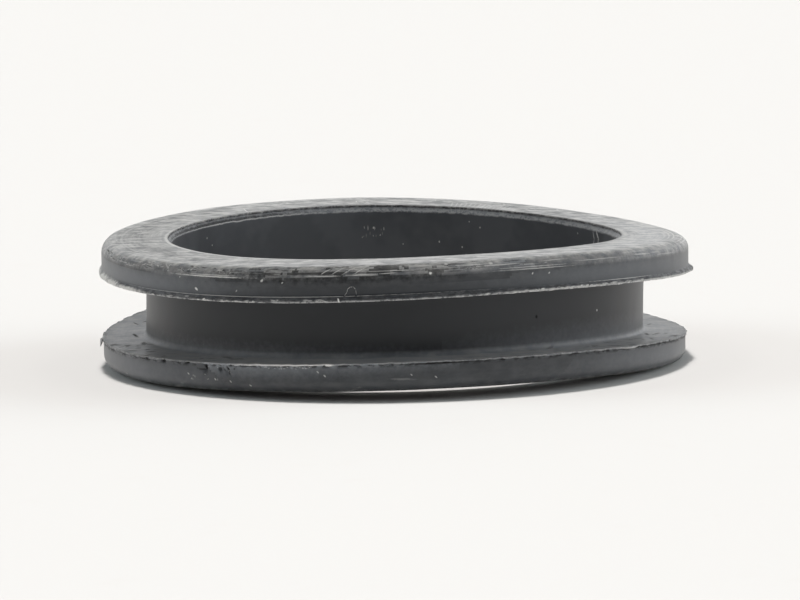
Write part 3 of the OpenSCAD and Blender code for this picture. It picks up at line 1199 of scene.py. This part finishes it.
def groove_marks() -> list[Mark]:
    """The stains and specks on the neck and on the lower flange's groove face, and pale film on the groove
    face that is partly bloom and partly painted light.

    Returns:
        The marks.
    """
    neck, cheek = Face.NECK, Face.CHEEK
    marks = [
        Mark(neck, (-57.3, 7.7), None, 0.4, tone=Tone.DARK),
        Mark(neck, (-38.5, 7.7), None, 0.28, 0.6),
        # pale film on the groove face: partly bloom, partly painted light
        Mark(cheek, (-68.0, 34.2), (-4.0, 34.2), 5.8, 0.45, Tone.HAZE_AND_SIDE_LIGHT),
        Mark(cheek, (-180.0, 35.5), (-90.0, 35.5), 5.8, 1.0, Tone.HAZE_AND_SIDE_LIGHT),
        Mark(cheek, (-172.9, 33.5), (-177.0, 33.9), 0.4, 0.8, tone=Tone.DARK),
        Mark(cheek, (-153.6, 34.8), None, 0.6, 0.8, tone=Tone.DARK),
        Mark(cheek, (-36.8, 32.9), (-34.5, 33.0), 0.3, 0.8, tone=Tone.DARK),
        Mark(cheek, (-25.8, 34.9), None, 0.5, 0.8, tone=Tone.DARK),
        Mark(cheek, (-10.7, 35.6), None, 0.5, 0.8, tone=Tone.DARK),
        Mark(cheek, (-28.5, 32.9), (-24.6, 34.2), 0.3, 0.7, tone=Tone.DARK),
        Mark(cheek, (-136.0, 33.0), (-118.0, 33.4), 0.3, 0.4),
        Mark(cheek, (-60.0, 37.2), (-45.0, 36.6), 0.9, 0.4),
    ]
    for angles in ((-168.0, -118.0), (-62.0, -12.0)):
        start, stop = angles
        marks += strewn(int(-start), 24, cheek, angles, (32.8, 37.6), (3.0, 1.0), (0.25, 0.8), (0.2, 0.6),
                        Tone.DARK)
        marks += strewn(int(-stop), 24, cheek, angles, (32.8, 37.8), (2.0, 1.0), (0.15, 0.5), (0.15, 0.5))
    marks += strewn(32, 30, cheek, (-58.0, -34.0), (35.5, 38.0), (0.6, 0.4), (0.1, 0.22), (0.2, 0.6))
    marks += strewn(33, 14, cheek, (0.0, 180.0), (33.0, 37.5), (4.0, 1.5), (0.2, 0.5), (0.3, 0.8), Tone.DARK)
    marks += strewn(34, 16, neck, (0.0, 180.0), (5.0, 10.5), (0.3, 0.2), (0.1, 0.3), (0.4, 0.8))
    return marks


def rim_marks() -> list[Mark]:
    """The nicks' shadows, the pale torn stretches and the flecks on the lower flange's rim and wall, with a
    painted shadow under the lip, a pale line along its top edge that is partly torn flash and partly painted
    highlight, and pale film that paints the light on the wall's two ends.

    Returns:
        The marks.
    """
    lip, wall, cheek = Face.LIP, Face.LOW_WALL, Face.CHEEK
    marks = [
        Mark(lip, (-120.0, 3.5), (-101.8, 3.5), 0.25, 0.9),
        Mark(lip, (-102.6, 3.5), (-101.6, 3.5), 0.4),
        # pale line along the lip's top edge: partly torn flash, partly painted highlight
        Mark(cheek, (-178.0, 38.04), (-121.0, 38.04), 0.17, 1.0),
        Mark(cheek, (-62.0, 38.04), (-8.0, 38.04), 0.14, 0.5),
        Mark(lip, (-42.6, 3.45), (-36.4, 3.45), 0.1, 0.5),
        # pale film on both ends of the wall: painted light where they catch the side light
        Mark(wall, (-178.0, 2.0), (-134.0, 2.0), 2.8, 0.28, Tone.HAZE_AND_SIDE_LIGHT),
        Mark(wall, (-45.0, 2.0), (-4.0, 2.0), 2.8, 0.2, Tone.HAZE_AND_SIDE_LIGHT),
        # painted shadow under the overhang of the lip
        Mark(lip, (-90.0, 3.3), (-74.0, 3.25), 0.3, 1.0, tone=Tone.DARK),
        Mark(lip, (-45.0, 3.25), (-20.0, 3.3), 0.25, 0.9, tone=Tone.DARK),
        Mark(wall, (-127.9, 3.15), (-127.5, 2.45), 0.4, 1.0, Tone.DARK),
        Mark(wall, (-129.4, 2.75), (-128.3, 2.65), 0.25, 0.6, Tone.DARK),
        Mark(wall, (-124.6, 2.95), (-124.3, 2.6), 0.3, 0.7, Tone.DARK),
        Mark(wall, (-123.6, 2.95), (-123.2, 2.7), 0.22, 0.6, Tone.DARK),
        Mark(wall, (-122.7, 3.05), (-122.1, 2.3), 0.32, 1.0, Tone.DARK),
        Mark(wall, (-121.1, 2.9), None, 0.3, 0.6, Tone.DARK),
        Mark(wall, (-90.3, 1.6), (-86.9, 1.5), 0.25, 0.12),
    ]
    for angle, width in ((-144.6, 0.5), (-139.0, 0.7), (-132.2, 0.5), (-24.0, 0.6), (-17.5, 0.5)):
        marks.append(Mark(lip, (angle, 3.4), None, width, 1.0, tone=Tone.DARK))
    for angle, height, width in (
            (-132.3, 2.1, 0.14), (-131.3, 1.5, 0.12), (-125.6, 1.6, 0.14), (-122.1, 1.4, 0.13),
            (-117.8, 0.9, 0.14), (-153.9, 0.8, 0.14), (-103.0, 2.2, 0.16), (-104.3, 2.7, 0.12),
            (-87.0, 2.1, 0.12), (-82.5, 1.7, 0.12)):
        marks.append(Mark(wall, (angle, height), (angle + 0.2, height - 0.12), width, 0.6))
    marks += strewn(44, 10, wall, (-133.0, -120.0), (1.4, 3.1), (0.3, 0.2), (0.06, 0.12), (0.2, 0.5))
    marks += strewn(45, 60, wall, (-115.5, -105.5), (3.02, 3.36), (0.4, 0.1), (0.06, 0.14), (0.2, 0.6))
    marks += strewn(46, 24, cheek, (-116.0, -102.0), (37.2, 38.0), (0.8, 0.3), (0.1, 0.3), (0.2, 0.5))
    marks += strewn(41, 24, wall, (0.0, 180.0), (0.9, 2.8), (0.3, 0.2), (0.1, 0.25), (0.4, 0.8))
    marks += strewn(42, 24, lip, (0.0, 180.0), (3.3, 3.5), (2.0, 0.1), (0.2, 0.4), (0.6, 1.0), Tone.DARK)
    marks += strewn(43, 30, Face.UNDER, (-180.0, 180.0), (30.0, 36.0), (8.0, 3.0), (0.2, 0.6), (0.2, 0.5))
    return marks


def bore_marks() -> list[Mark]:
    """The dust and smears in the bore.

    Returns:
        The marks.
    """
    marks = [
        Mark(Face.BORE, (176.0, 15.15), (118.0, 15.15), 0.5, 0.75, Tone.DARK),
        Mark(Face.BORE, (160.0, 14.85), (112.0, 14.85), 0.14, 0.4),
        Mark(Face.BORE, (22.7, 14.7), (21.5, 13.9), 0.3, 0.7),
        Mark(Face.BORE, (21.5, 13.9), (21.9, 12.8), 0.25, 0.6),
        Mark(Face.BORE, (24.6, 14.4), (24.0, 13.7), 0.22, 0.6),
        Mark(Face.BORE, (24.0, 13.7), (24.6, 12.9), 0.2, 0.5),
    ]
    for angle, height, width in (
            (95.8, 12.6, 0.3), (66.4, 13.1, 0.2), (69.5, 13.8, 0.18), (77.9, 10.8, 0.25), (71.5, 10.2, 0.22),
            (87.8, 10.3, 0.16), (149.9, 13.3, 0.2), (147.5, 12.2, 0.2), (32.5, 14.0, 0.2)):
        marks.append(Mark(Face.BORE, (angle, height), None, width, 0.6))
    marks += strewn(52, 26, Face.BORE, (92.5, 99.0), (11.2, 12.6), (0.1, 0.5), (0.08, 0.16), (0.15, 0.45))
    marks += strewn(51, 20, Face.BORE, (-180.0, 0.0), (1.0, 13.5), (0.3, 0.2), (0.1, 0.3), (0.4, 0.8))
    return marks


def main() -> None:
    """Builds the ring, dresses it, and sets up the studio."""
    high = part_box("grommet")[1]
    bore = next(m for m in frame["record"]["mounts"] if m["name"] == "cable_bore")
    section = Section(flange_r=high.x - Section.fin_reach, bore_r=bore["dims"]["r_mm"] * MM, top_z=high.z)
    marks = top_marks() + wall_marks() + groove_marks() + rim_marks() + bore_marks()
    build = Ring(section, Warp(), nicks(), marks)
    ring = build.build()
    LOG.info("ring: %d rings, %d triangles, raised %.2f mm",
             len(section.outline), 2 * len(ring.data.polygons), build.raised / MM)
    BlackRubber().dress(ring, section)
    LOG.info("marks: %d", len(marks))
    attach(ring, "root")
    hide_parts("grommet")
    Studio(build.raised).set_up()


if __name__ == "__main__":
    main()
